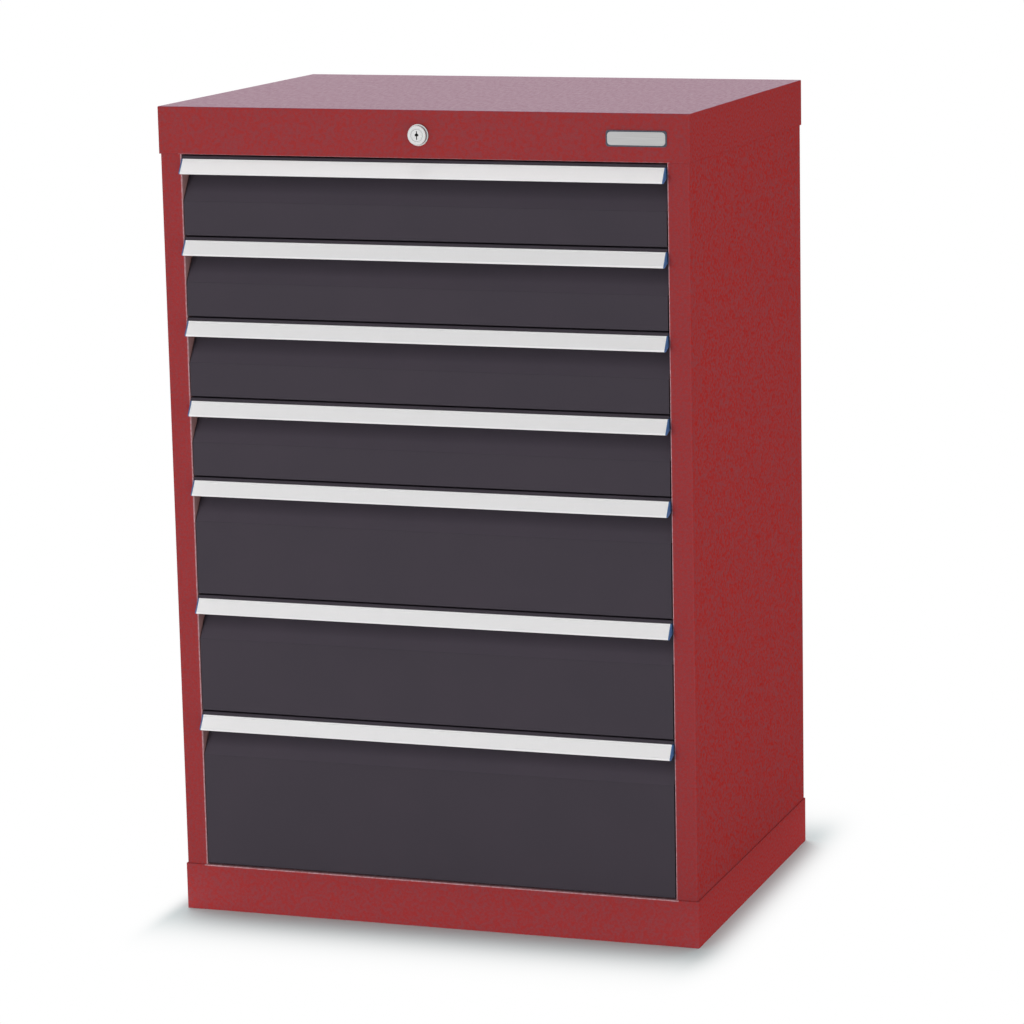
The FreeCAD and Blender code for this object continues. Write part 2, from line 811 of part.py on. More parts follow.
save("right_side_panel", [side_panel()])
save("left_side_panel", [mirrored(side_panel())])
save("back_panel", [back_panel()])
save("top_cap", [top_cap()])
save("base_plinth", [base_plinth()])
save("floor_panel", [floor_panel()])
save("upper_cross_rail", [upper_cross_rail()])

uprights = []
for place in upright_places():
    uprights.extend(both_sides(upright(place)))
save("slotted_uprights", uprights)

rails = []
for foot in module_feet:
    rails.extend(both_sides(cabinet_rail(foot)))
save("cabinet_rails", rails)

save("back_rivets", rivets())
save("lock_case", [lock_case()])
save("lock_nut", [lock_nut()])
save("lock_cylinder", [lock_cylinder()])
save("lock_shaft", [lock_shaft()])
save("lock_cam", [lock_cam()])
save("lock_bar", [lock_bar()] + [bar_hook(foot) for foot in module_feet])
guides = [guide(module_feet[i]) for i in (0, len(module_feet) // 2, -1)]
save("lock_guides", guides + [shaft_bearing()])
save("name_plate", [name_plate()])

for number, (foot, module) in enumerate(zip(module_feet, modules), start=1):
    save_drawer("drawer_" + str(number) + "_", foot, module)
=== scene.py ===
"""Looks of an upright steel drawer cabinet: seven drawers behind a red powder-coated body.

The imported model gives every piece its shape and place. This file gives each one its finish, and
replaces the lock's visible pieces and the plate by finer ones.
"""
import math

import bmesh
import bpy
from mathutils import Matrix, Vector


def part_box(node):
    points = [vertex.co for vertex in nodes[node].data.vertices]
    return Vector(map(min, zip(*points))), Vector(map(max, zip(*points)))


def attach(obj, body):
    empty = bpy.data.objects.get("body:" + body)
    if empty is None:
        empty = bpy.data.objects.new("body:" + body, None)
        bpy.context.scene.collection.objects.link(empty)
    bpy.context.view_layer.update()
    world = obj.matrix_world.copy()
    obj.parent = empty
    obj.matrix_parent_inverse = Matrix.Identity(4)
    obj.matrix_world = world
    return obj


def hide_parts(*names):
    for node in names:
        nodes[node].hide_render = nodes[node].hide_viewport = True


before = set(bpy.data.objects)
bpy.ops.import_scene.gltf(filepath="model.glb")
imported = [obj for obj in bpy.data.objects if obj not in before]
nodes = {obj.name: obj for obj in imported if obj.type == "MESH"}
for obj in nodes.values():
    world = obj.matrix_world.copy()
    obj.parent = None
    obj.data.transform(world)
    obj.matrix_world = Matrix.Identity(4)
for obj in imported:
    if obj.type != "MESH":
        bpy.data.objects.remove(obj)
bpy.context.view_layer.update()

# Camera: a long lens to the right of the front and a little above the lid, fitted to the cabinet's
# corners and its handles' edges. The picture is a part of a wider one, left of its middle.
lens = 134.91
sensor = 36.0
lens_shift = (-0.15603, 0.02233)
camera_place = Vector((1.64643, -4.55438, 1.41743))
camera_azimuth = math.radians(17.208)
camera_elevation = math.radians(11.312)
camera_roll = math.radians(-0.734)
nearest_seen = 0.1
farthest_seen = 100.0

camera = bpy.data.objects.new("camera", bpy.data.cameras.new("camera"))
bpy.context.scene.collection.objects.link(camera)
bpy.context.scene.camera = camera
camera.data.lens = lens
camera.data.sensor_width = sensor
camera.data.shift_x, camera.data.shift_y = lens_shift
camera.data.clip_start = nearest_seen
camera.data.clip_end = farthest_seen
turn = Matrix.Rotation(camera_azimuth, 4, "Z")
tilt = Matrix.Rotation(math.pi / 2 - camera_elevation, 4, "X")
roll = Matrix.Rotation(camera_roll, 4, "Z")
camera.matrix_world = Matrix.Translation(camera_place) @ turn @ tilt @ roll
bpy.context.scene.view_settings.view_transform = "Standard"

# Studio: an even grey room for the light that reaches the cabinet, which is plain white where the
# camera, gloss or glass looks at it. A wide overhead lamp, a soft key and two weak fills light it.
room_light = 0.42
overhead_width = math.radians(20)
lamp_size = 1.4


def add(tree, kind, inputs=(), **properties):
    """Adds a node, sets its properties, and links or sets its inputs by name or number."""
    node = tree.nodes.new(kind)
    for name, value in properties.items():
        setattr(node, name, value)
    for name, value in dict(inputs).items():
        put(tree, node.inputs[name], value)
    return node


def put(tree, socket, value):
    """Links a socket to another node's output, or sets its value."""
    if isinstance(value, bpy.types.NodeSocket):
        tree.links.new(value, socket)
    else:
        socket.default_value = value


def combined(tree, how, *values):
    """Joins numbers by a math operation, one after the other."""
    made = values[0]
    for value in values[1:]:
        made = add(tree, "ShaderNodeMath", {0: made, 1: value}, operation=how).outputs[0]
    return made


def blend(tree, factor, a, b, how="MIX"):
    """Mixes two colours."""
    return add(tree, "ShaderNodeMix", {0: factor, 6: a, 7: b}, data_type="RGBA",
               blend_type=how).outputs[2]


def grey(level):
    """An opaque neutral colour."""
    return (level, level, level, 1.0)


def seen_directly(tree):
    """One for camera, glossy and transmission rays, zero for the light that falls on things."""
    rays = add(tree, "ShaderNodeLightPath").outputs
    return combined(tree, "MAXIMUM", rays["Is Camera Ray"], rays["Is Glossy Ray"],
                    rays["Is Transmission Ray"])


def lamp(name, kind, place, target, energy):
    """A lamp at a place, pointed at a target, that doesn't show in gloss."""
    light = bpy.data.lights.new(name, kind)
    light.energy = energy
    lamp_object = bpy.data.objects.new(name, light)
    bpy.context.scene.collection.objects.link(lamp_object)
    lamp_object.location = place
    aim = Vector(target) - Vector(place)
    lamp_object.rotation_euler = aim.to_track_quat("-Z", "Y").to_euler()
    lamp_object.visible_glossy = False
    return light


world = bpy.data.worlds.new("studio")
world.use_nodes = True
bpy.context.scene.world = world
room = world.node_tree
room_colour = blend(room, seen_directly(room), grey(room_light), grey(1.0))
put(room, room.nodes["Background"].inputs["Color"], room_colour)
put(room, room.nodes["Background"].inputs["Strength"], 1.0)

overhead = lamp("overhead", "SUN", (-0.24, 0.40, 3.0), (0.0, 0.0, 0.0), 1.58)
overhead.angle = overhead_width
key = lamp("key", "AREA", (-1.6, -3.8, 0.45), (0.0, -0.25, 0.40), 66.0)
fill = lamp("fill", "AREA", (3.6, -0.4, 0.8), (0.34, 0.0, 0.45), 40.0)
rear_fill = lamp("rear_fill", "AREA", (-2.2, 3.2, 0.9), (-0.1, 0.1, 0.5), 50.0)
for light in (key, fill, rear_fill):
    light.size = lamp_size

# Floor: a pale studio floor that keeps the cabinet's soft shadow. The shadow fades out around the
# plinth, soonest on the left and latest in front. Beyond it the floor is as white as the room where
# it is looked at, and to the light that falls on things it is a plain bright floor everywhere.
floor_size = 5.0
floor_colour = (0.600, 0.680, 0.688, 1.0)
floor_bounce = 0.92
reach_left = 0.018
reach_right = 0.0315
reach_forward = 0.0853
reach_change = 0.001
least_kept = 0.002
plinth_low, plinth_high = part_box("base_plinth")
plinth_middle = (plinth_low + plinth_high) / 2
plinth_half = (plinth_high - plinth_low) / 2


def spread(tree, value, low, high, to_low=0.0, to_high=1.0):
    """Stretches a value's range to another one, and holds it at the ends."""
    return add(tree, "ShaderNodeMapRange", {"Value": value, "From Min": low, "From Max": high,
                                            "To Min": to_low, "To Max": to_high}).outputs[0]


def vector_math(tree, how, *vectors):
    """The result of a vector operation."""
    return add(tree, "ShaderNodeVectorMath", dict(enumerate(vectors)), operation=how).outputs[0]


def axes(tree, vector):
    """A vector's parts along X, Y and Z."""
    return add(tree, "ShaderNodeSeparateXYZ", {0: vector}).outputs


def object_place(tree):
    """The place of a point on its piece."""
    return add(tree, "ShaderNodeTexCoord").outputs["Object"]


floor_mesh = bpy.data.meshes.new("floor")
shape = bmesh.new()
bmesh.ops.create_grid(shape, x_segments=1, y_segments=1, size=floor_size)
shape.to_mesh(floor_mesh)
shape.free()
floor = bpy.data.objects.new("floor", floor_mesh)
bpy.context.scene.collection.objects.link(floor)

floor_paint = bpy.data.materials.new("pale_floor")
floor_paint.use_nodes = True
look = floor_paint.node_tree
look.nodes.remove(look.nodes["Principled BSDF"])
point = object_place(look)
from_middle = vector_math(look, "ABSOLUTE", vector_math(look, "SUBTRACT", point, plinth_middle))
past = vector_math(look, "SUBTRACT", from_middle, plinth_half)
past = vector_math(look, "MAXIMUM", past, (0.0, 0.0, 0.0))
reach_side = spread(look, axes(look, point)["X"], -reach_change, reach_change, reach_left, reach_right)
reach = add(look, "ShaderNodeCombineXYZ", {0: reach_side, 1: reach_forward, 2: 1.0}).outputs[0]
past = vector_math(look, "DIVIDE", past, reach)
away = add(look, "ShaderNodeVectorMath", {0: past}, operation="LENGTH").outputs["Value"]
fall = combined(look, "MULTIPLY", away, away, -1.0)
kept = add(look, "ShaderNodeMath", {0: fall}, operation="EXPONENT").outputs[0]
looked_at = seen_directly(look)
bare = combined(look, "MULTIPLY", spread(look, kept, 1.0, least_kept), looked_at)
floor_tint = blend(look, looked_at, grey(floor_bounce), floor_colour)
matt = add(look, "ShaderNodeBsdfDiffuse", {"Color": floor_tint})
white = add(look, "ShaderNodeEmission", {"Color": grey(1.0), "Strength": 1.0})
both = add(look, "ShaderNodeMixShader", {0: bare, 1: matt.outputs[0], 2: white.outputs[0]})
put(look, look.nodes["Material Output"].inputs["Surface"], both.outputs[0])
floor_mesh.materials.append(floor_paint)

# Body: side panels, back, cap, plinth, floor panel and cross rail are folded from 1.5 mm sheet,
# spot welded and powder coated red. The coat is satin, with a fine speckle and a light texture.
# Along the folds and cut edges round the opening it is painted paler, as a painted highlight.
red_warm = (0.318, 0.0330, 0.0330, 1.0)
red_cool = (0.258, 0.0475, 0.0545, 1.0)
red_side_painted_warm = (0.308, 0.0185, 0.0160, 1.0)
red_side_painted_cool = (0.222, 0.0445, 0.0500, 1.0)
red_lid_painted_shade_and_sheen = (0.190, 0.0550, 0.1350, 1.0)
red_painted_highlight = (0.560, 0.3400, 0.3700, 1.0)
red_painted_return_sheen = (0.340, 0.1850, 0.1800, 1.0)
red_edge = 0.0013
red_speck = (0.93, 1.07)
painted_highlight_share = (0.45, 0.95)
plinth_painted_light = 1.08
foot_painted_light = 1.21
lid_share = 0.20
lid_gloss = (0.61, 0.83)
lid_flow = (-0.08, 0.24)
flow_scale = 320.0
flow_stretch = (1.0, 0.20, 1.0)
lid_skin = 0.0030
opening_rim = 0.0030
fade = 0.0010
return_skin = 0.0006
return_fade = 0.0004
pale_rim = 0.0010
pale_rim_fade = 0.0006
seam = 0.0002
opening_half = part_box("upper_cross_rail")[1].x
opening_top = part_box("top_cap")[0].z
lid_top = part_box("top_cap")[1].z


def effect(name, inputs, outputs):
    """A shader node group with named inputs and outputs, and its two end nodes."""
    tree = bpy.data.node_groups.new(name, "ShaderNodeTree")
    for label, kind, value in inputs:
        socket = tree.interface.new_socket(name=label, in_out="INPUT", socket_type=kind)
        socket.default_value = value
    for label, kind in outputs:
        tree.interface.new_socket(name=label, in_out="OUTPUT", socket_type=kind)
    return tree, tree.nodes.new("NodeGroupInput"), tree.nodes.new("NodeGroupOutput")


def placed(tree, effect_tree, inputs=()):
    """A node group placed in a material with its own values."""
    return add(tree, "ShaderNodeGroup", inputs, node_tree=effect_tree)


def between(tree, factor, a, b):
    """Mixes two numbers."""
    return add(tree, "ShaderNodeMix", {0: factor, 2: a, 3: b}, data_type="FLOAT").outputs[0]


def scaled(tree, colour, level):
    """Makes a colour darker or lighter by a level."""
    level = add(tree, "ShaderNodeCombineColor", {0: level, 1: level, 2: level}).outputs[0]
    return blend(tree, 1.0, colour, level, "MULTIPLY")


def tone(tree, colour, factor, low, high):
    """Makes a colour darker or lighter between two levels."""
    return scaled(tree, colour, between(tree, factor, low, high))


def surface_normal(tree):
    """The way that a face looks, without any bump."""
    return add(tree, "ShaderNodeNewGeometry").outputs["Normal"]


VALUE = "NodeSocketFloat"
VECTOR = "NodeSocketVector"

# Softened edge: the normal turns over a small radius at each edge, and a mask follows the edge.
# The finishes use the mask to paint their edges lighter, partly a thinner coat and partly a painted
# highlight.
soft_edge, start, end = effect("softened_edge", [("Radius", VALUE, 0.0005)],
                               [("Normal", VECTOR), ("Edge", VALUE)])
bevel = add(soft_edge, "ShaderNodeBevel", {"Radius": start.outputs["Radius"]}, samples=6)
facing = add(soft_edge, "ShaderNodeVectorMath", {0: bevel.outputs[0], 1: surface_normal(soft_edge)},
             operation="DOT_PRODUCT").outputs["Value"]
put(soft_edge, end.inputs["Normal"], bevel.outputs[0])
put(soft_edge, end.inputs["Edge"], spread(soft_edge, facing, 0.995, 0.80))

# Powder grain: two sizes of speckle, and the height of the coat's fine orange peel.
grain, start, end = effect("powder_grain", [("Fine", VALUE, 700.0), ("Coarse", VALUE, 300.0)],
                           [("Speck", VALUE), ("Patch", VALUE), ("Height", VALUE)])
point = object_place(grain)
fine = add(grain, "ShaderNodeTexNoise", {"Vector": point, "Scale": start.outputs["Fine"],
                                         "Detail": 1.5, "Roughness": 0.6}).outputs["Fac"]
coarse = add(grain, "ShaderNodeTexNoise", {"Vector": point, "Scale": start.outputs["Coarse"],
                                           "Detail": 1.0, "Roughness": 0.5}).outputs["Fac"]
put(grain, end.inputs["Speck"], spread(grain, fine, 0.30, 0.70))
put(grain, end.inputs["Patch"], spread(grain, coarse, 0.32, 0.68))
put(grain, end.inputs["Height"], fine)


def finish(name, roughness, specular):
    """A new material, its tree and its Principled shader with the plain values set."""
    made = bpy.data.materials.new(name)
    made.use_nodes = True
    shader = made.node_tree.nodes["Principled BSDF"]
    shader.inputs["Roughness"].default_value = roughness
    shader.inputs["Specular IOR Level"].default_value = specular
    return made, made.node_tree, shader


def bumped(tree, shader, height, distance, normal):
    """Gives a shader the normal of a height over another normal."""
    bump = add(tree, "ShaderNodeBump", {"Height": height, "Distance": distance, "Normal": normal})
    put(tree, shader.inputs["Normal"], bump.outputs[0])


def dress(made, *names):
    """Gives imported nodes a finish."""
    for name in names:
        nodes[name].material_slots[0].material = made


# The sides are painted a clearer red than the front, painted shade for how the light falls on them.
# The lid, which sees the bright room above it, has a pale violet sheen, partly from a real coat and
# partly painted into its base colour.
red_paint, look, shader = finish("red_powder_coat", 0.50, 0.0)
edge = placed(look, soft_edge, {"Radius": red_edge})
specks = placed(look, grain, {"Fine": 760.0, "Coarse": 300.0})
normal = surface_normal(look)
square_to = axes(look, vector_math(look, "ABSOLUTE", normal))
point = object_place(look)
place = axes(look, point)
side_place = axes(look, vector_math(look, "ABSOLUTE", point))
sideways = spread(look, square_to["X"], 0.6, 0.9)
on_top = spread(look, place["Z"], lid_top - lid_skin - fade, lid_top - lid_skin)
on_lid = combined(look, "MULTIPLY", spread(look, axes(look, normal)["Z"], 0.5, 0.95), on_top)
colour = blend(look, specks.outputs["Patch"], red_warm, red_cool)
painted_side_colour = blend(look, specks.outputs["Patch"], red_side_painted_warm, red_side_painted_cool)
colour = blend(look, sideways, colour, painted_side_colour)
# On the lid the base colour is painted darker and more violet, painted shade and sheen beneath its
# real coat.
colour = blend(look, on_lid, colour, blend(look, lid_share, red_lid_painted_shade_and_sheen, colour))
colour = tone(look, colour, specks.outputs["Speck"], *red_speck)

# The plinth is painted a little lighter than the body, and more so towards the floor: painted light
# against the shade that falls low on the plinth.
on_plinth = spread(look, place["Z"], plinth_high.z + seam, plinth_high.z)
near_floor = spread(look, place["Z"], plinth_high.z, 0.0)
colour = tone(look, colour, on_plinth, 1.0, plinth_painted_light)
colour = tone(look, colour, near_floor, 1.0, foot_painted_light)

# The fold mask is one where the sheet turns away from its flat faces, all of which are square to
# the cabinet. The cut edge is the top of the plinth's front. A third mask is one on the posts' faces
# at the two ends of the opening. Only folds and cut edges round the opening are painted pale, as a
# painted highlight.
flatness = combined(look, "MAXIMUM", square_to["X"], square_to["Y"], square_to["Z"])
fold = spread(look, flatness, 0.995, 0.90)
rim_foot = plinth_high.z - pale_rim
cut_edge = combined(look, "MULTIPLY", spread(look, place["Z"], rim_foot - pale_rim_fade, rim_foot),
                    spread(look, place["Z"], plinth_high.z + seam, plinth_high.z + seam / 2),
                    spread(look, place["Y"], 0.0, -fade))
rim_side = opening_half + opening_rim
rim_top = opening_top + opening_rim
beside = spread(look, side_place["X"], rim_side + fade, rim_side)
below = spread(look, place["Z"], rim_top + fade, rim_top)
painted_highlight = combined(look, "MAXIMUM", edge.outputs["Edge"], fold, cut_edge)
painted_highlight = combined(look, "MULTIPLY", painted_highlight, beside, below,
                between(look, specks.outputs["Patch"], *painted_highlight_share))
# The posts' faces at the two ends of the opening are painted paler, a painted reflection of the bright
# room seen at a glancing angle.
return_side = opening_half + return_skin
painted_return_sheen = spread(look, side_place["X"], return_side + return_fade, return_side)
painted_return_sheen = combined(look, "MULTIPLY", painted_return_sheen, sideways)
colour = blend(look, painted_return_sheen, colour, red_painted_return_sheen)
put(look, shader.inputs["Base Color"], blend(look, painted_highlight, colour, red_painted_highlight))

# The lid's sheen is a coat with fine flow marks, drawn out from front to back.
drawn_out = add(look, "ShaderNodeMapping", {"Vector": point, "Scale": flow_stretch}).outputs[0]
flow = add(look, "ShaderNodeTexNoise", {"Vector": drawn_out, "Scale": flow_scale,
                                        "Detail": 2.0}).outputs["Fac"]
lid_coat = combined(look, "ADD", between(look, specks.outputs["Speck"], *lid_gloss),
                    spread(look, flow, 0.30, 0.70, *lid_flow))
put(look, shader.inputs["Coat Weight"], between(look, on_lid, 0.0, lid_coat))
shader.inputs["Coat Roughness"].default_value = 0.34
bumped(look, shader, specks.outputs["Height"], 0.00005, edge.outputs["Normal"])
dress(red_paint, "left_side_panel", "right_side_panel", "back_panel", "top_cap", "base_plinth",
      "floor_panel", "upper_cross_rail")

# Uprights, cabinet rails and rivets: punched and rolled steel strip with bright zinc plate. The
# plate is a little cloudy, with faint rolling marks along each strip.
mottle, start, end = effect("zinc_bloom", [("Cloud", VALUE, 60.0), ("Grain", VALUE, 900.0)],
                            [("Bloom", VALUE), ("Streak", VALUE)])
point = object_place(mottle)
cloud = add(mottle, "ShaderNodeTexNoise", {"Vector": point, "Scale": start.outputs["Cloud"],
                                           "Detail": 4.0, "Roughness": 0.6}).outputs["Fac"]
rolled = add(mottle, "ShaderNodeMapping", {"Vector": point, "Scale": (1.0, 0.02, 1.0)}).outputs[0]
streak = add(mottle, "ShaderNodeTexNoise", {"Vector": rolled, "Scale": start.outputs["Grain"],
                                            "Detail": 2.0}).outputs["Fac"]
put(mottle, end.inputs["Bloom"], spread(mottle, cloud, 0.35, 0.65))
put(mottle, end.inputs["Streak"], spread(mottle, streak, 0.30, 0.70))


def plated(name, bright, dull, smooth, rough, cloud_scale):
    """A zinc-plated or ground steel, between a bright and a dull state."""
    made, tree, principled = finish(name, smooth, 0.5)
    principled.inputs["Metallic"].default_value = 1.0
    soft = placed(tree, soft_edge, {"Radius": 0.0004})
    bloom = placed(tree, mottle, {"Cloud": cloud_scale, "Grain": 900.0})
    tint = blend(tree, bloom.outputs["Bloom"], bright, dull)
    tint = blend(tree, between(tree, bloom.outputs["Streak"], 0.0, 0.25), tint, dull)
    put(tree, principled.inputs["Base Color"], blend(tree, soft.outputs["Edge"], tint, grey(0.80)))
    put(tree, principled.inputs["Roughness"], between(tree, bloom.outputs["Bloom"], smooth, rough))
    bumped(tree, principled, bloom.outputs["Streak"], 0.00003, soft.outputs["Normal"])
    return made


zinc_bright = (0.50, 0.52, 0.55, 1.0)
zinc_dull = (0.38, 0.39, 0.40, 1.0)
zinc = plated("bright_zinc", zinc_bright, zinc_dull, 0.28, 0.42, 55.0)
dress(zinc, "slotted_uprights", "cabinet_rails", "back_rivets")

# Locking bar, cam, shaft and nut are plated steel too. The bar slides in moulded nylon guides on
# the back panel, and the shaft's rear end turns in a nylon block.
dress(zinc, "lock_bar", "lock_cam", "lock_shaft", "lock_nut")

nylon_clear = (0.62, 0.60, 0.51, 1.0)
nylon_dull = (0.55, 0.53, 0.45, 1.0)
nylon_edge = (0.70, 0.68, 0.60, 1.0)

nylon, look, shader = finish("natural_nylon", 0.42, 0.4)
edge = placed(look, soft_edge, {"Radius": 0.0008})
specks = placed(look, grain, {"Fine": 1400.0, "Coarse": 90.0})
colour = blend(look, specks.outputs["Patch"], nylon_clear, nylon_dull)
put(look, shader.inputs["Base Color"], blend(look, edge.outputs["Edge"], colour, nylon_edge))
shader.inputs["Subsurface Weight"].default_value = 0.15
shader.inputs["Subsurface Radius"].default_value = (0.002, 0.0018, 0.0014)
bumped(look, shader, specks.outputs["Height"], 0.00004, edge.outputs["Normal"])
dress(nylon, "lock_guides")

# Lock: a turned steel case with a flange against the cap, a raised face ring and a threaded body,
# and the plug that turns in it. Both are satin chromed. The keyway is cut into the plug's face.
turned_steps = 96
case_low, case_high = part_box("lock_case")
plug_low, plug_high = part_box("lock_cylinder")
lock_axis = Vector(((case_low.x + case_high.x) / 2, 0.0, (case_low.z + case_high.z) / 2))
cap_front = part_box("top_cap")[0].y
flange_radius = (case_high.x - case_low.x) / 2
flange_thickness = 0.0015
face_radius = 0.0118
bore_radius = 0.00755
body_radius = 0.0095
groove_radius = 0.0100
groove_half = 0.0004
groove_depth = 0.0002
thread_pitch = 0.001
thread_depth = 0.0004
thread_gap = 0.002
thread_runout = 0.001
ease = 0.0005
plug_radius = 0.0075
collar_thickness = 0.0017


def turned(name, outline):
    """A lathe-turned piece about the lock's axis, from a closed outline of radii and depths."""
    shape = bmesh.new()
    points = [shape.verts.new((radius, depth, 0.0)) for radius, depth in outline]
    edges = [shape.edges.new((a, b)) for a, b in zip(points, points[1:] + points[:1])]
    bmesh.ops.spin(shape, geom=points + edges, cent=(0, 0, 0), axis=(0, 1, 0), dvec=(0, 0, 0),
                   angle=2 * math.pi, steps=turned_steps, use_merge=True)
    bmesh.ops.remove_doubles(shape, verts=shape.verts, dist=1e-7)
    bmesh.ops.recalc_face_normals(shape, faces=shape.faces)
    bmesh.ops.translate(shape, verts=shape.verts, vec=lock_axis)
    mesh = bpy.data.meshes.new(name)
    shape.to_mesh(mesh)
    shape.free()
    made = bpy.data.objects.new(name, mesh)
    bpy.context.scene.collection.objects.link(made)
    return made


flange_front = cap_front - flange_thickness
ring_front = case_low.y
groove_floor = ring_front + groove_depth
outline = [(bore_radius, ring_front + ease), (bore_radius + ease, ring_front),
           (groove_radius - groove_half, ring_front), (groove_radius - groove_half / 2, groove_floor),
           (groove_radius + groove_half / 2, groove_floor), (groove_radius + groove_half, ring_front),
           (face_radius - 2 * ease, ring_front), (face_radius - 0.6 * ease, ring_front + 0.5 * ease),
           (face_radius, ring_front + 2 * ease), (face_radius, flange_front),
           (flange_radius - ease, flange_front), (flange_radius, flange_front + ease),
           (flange_radius, cap_front), (body_radius, cap_front)]
thread_start = cap_front + thread_gap
thread_end = case_high.y - thread_runout
for i in range(int((thread_end - thread_start) / thread_pitch)):
    foot = thread_start + i * thread_pitch
    outline += [(body_radius, foot), (body_radius - thread_depth, foot + thread_pitch / 2)]
outline += [(body_radius, thread_end), (body_radius - ease, case_high.y), (bore_radius, case_high.y)]
lock_ring = turned("lock_case_turned", outline)
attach(lock_ring, "housing")
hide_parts("lock_case")

plug_face = plug_low.y
collar_radius = (plug_high.x - plug_low.x) / 2
collar_start = plug_high.y - collar_thickness
plug = turned("lock_plug", [(0.0, plug_face), (plug_radius - ease, plug_face),
                            (plug_radius, plug_face + ease), (plug_radius, collar_start),
                            (collar_radius, collar_start), (collar_radius, plug_high.y),
                            (0.0, plug_high.y)])

# The keyway: a half-round dome with a flat foot, and a narrow slot above and below it.
key_round = 0.0024
key_foot = 0.0009
key_slot = Vector((0.0012, 0.0104))
key_depth = 0.009
cutter_mesh = bpy.data.meshes.new("keyway")
shape = bmesh.new()
bmesh.ops.create_circle(shape, cap_ends=True, radius=key_round, segments=32)
bmesh.ops.bisect_plane(shape, geom=shape.verts[:] + shape.edges[:] + shape.faces[:],
                       plane_co=(0, -key_foot, 0), plane_no=(0, -1, 0), clear_outer=True)
bmesh.ops.contextual_create(shape, geom=[e for e in shape.edges if e.is_boundary])
grown = bmesh.ops.extrude_face_region(shape, geom=shape.faces[:])
bmesh.ops.translate(shape, vec=(0, 0, 2 * key_depth),
                    verts=[v for v in grown["geom"] if isinstance(v, bmesh.types.BMVert)])
slot_part = bmesh.ops.create_cube(shape, size=1.0)["verts"]
bmesh.ops.scale(shape, vec=(key_slot.x, key_slot.y, 2 * key_depth), verts=slot_part)
bmesh.ops.translate(shape, vec=(0, 0, key_depth), verts=slot_part)
bmesh.ops.recalc_face_normals(shape, faces=shape.faces)
upright = Matrix.Rotation(math.pi / 2, 3, "X")
bmesh.ops.rotate(shape, verts=shape.verts, cent=(0, 0, 0), matrix=upright)
bmesh.ops.translate(shape, verts=shape.verts, vec=lock_axis + Vector((0, plug_face + key_depth, 0)))
shape.to_mesh(cutter_mesh)
shape.free()
cutter = bpy.data.objects.new("keyway", cutter_mesh)
bpy.context.scene.collection.objects.link(cutter)

# The chrome has fine turned rings on its faces. The turned sides are painted darker, a painted
# reflection of a darker part of the room.
chrome_painted_dark_side = (0.19, 0.21, 0.23, 1.0)

chrome, look, shader = finish("satin_chrome", 0.26, 0.5)
shader.inputs["Metallic"].default_value = 1.0
edge = placed(look, soft_edge, {"Radius": 0.0003})
centred = add(look, "ShaderNodeMapping", {"Vector": object_place(look), "Location": -lock_axis})
rings = add(look, "ShaderNodeTexWave", {"Vector": centred.outputs[0], "Scale": 900.0,
                                        "Distortion": 1.5, "Detail": 2.0},
            wave_type="RINGS", rings_direction="Y").outputs["Fac"]
frontal = axes(look, vector_math(look, "ABSOLUTE", surface_normal(look)))["Y"]
colour = blend(look, rings, grey(0.77), grey(0.72))
colour = blend(look, spread(look, frontal, 0.45, 0.15), colour, chrome_painted_dark_side)
put(look, shader.inputs["Base Color"], blend(look, edge.outputs["Edge"], colour, grey(0.80)))
put(look, shader.inputs["Roughness"], between(look, rings, 0.24, 0.30))
bumped(look, shader, rings, 0.000004, edge.outputs["Normal"])
lock_ring.data.materials.append(chrome)
plug.data.materials.append(chrome)

# The keyway's walls are painted near black with a faint mottle, painted shade deep in the slot.
keyway_painted_shadow, look, shader = finish("keyway_shadow", 0.6, 0.2)
shadow_mottle = add(look, "ShaderNodeTexNoise", {"Vector": object_place(look), "Scale": 900.0,
                                        "Detail": 2.0}).outputs["Fac"]
put(look, shader.inputs["Base Color"], blend(look, shadow_mottle, grey(0.006), grey(0.018)))
cutter_mesh.materials.append(keyway_painted_shadow)

cut = plug.modifiers.new("keyway", "BOOLEAN")
cut.object = cutter
cut.operation = "DIFFERENCE"
cut.solver = "EXACT"
cut.use_self = True
cut.material_mode = "TRANSFER"
cut_mesh = bpy.data.meshes.new_from_object(plug.evaluated_get(bpy.context.evaluated_depsgraph_get()))
plug.modifiers.clear()
plug.data = cut_mesh
bpy.data.objects.remove(cutter)
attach(plug, "lock_barrel")
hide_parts("lock_cylinder")

# Plate: a dark anodised aluminium plate pressed on the cap, right of the lock, with a brushed
# silver field that is left blank.
plate_low, plate_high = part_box("name_plate")
plate_size = plate_high - plate_low
plate_middle = (plate_low + plate_high) / 2
rim = 0.0018
rim_lift = 0.0009
backing_corner = 0.0035
field_corner = 0.0046
plate_ease = 0.0002
anodised_dark = (0.060, 0.063, 0.088, 1.0)
anodised_worn = (0.088, 0.088, 0.112, 1.0)
anodised_edge = (0.115, 0.118, 0.150, 1.0)


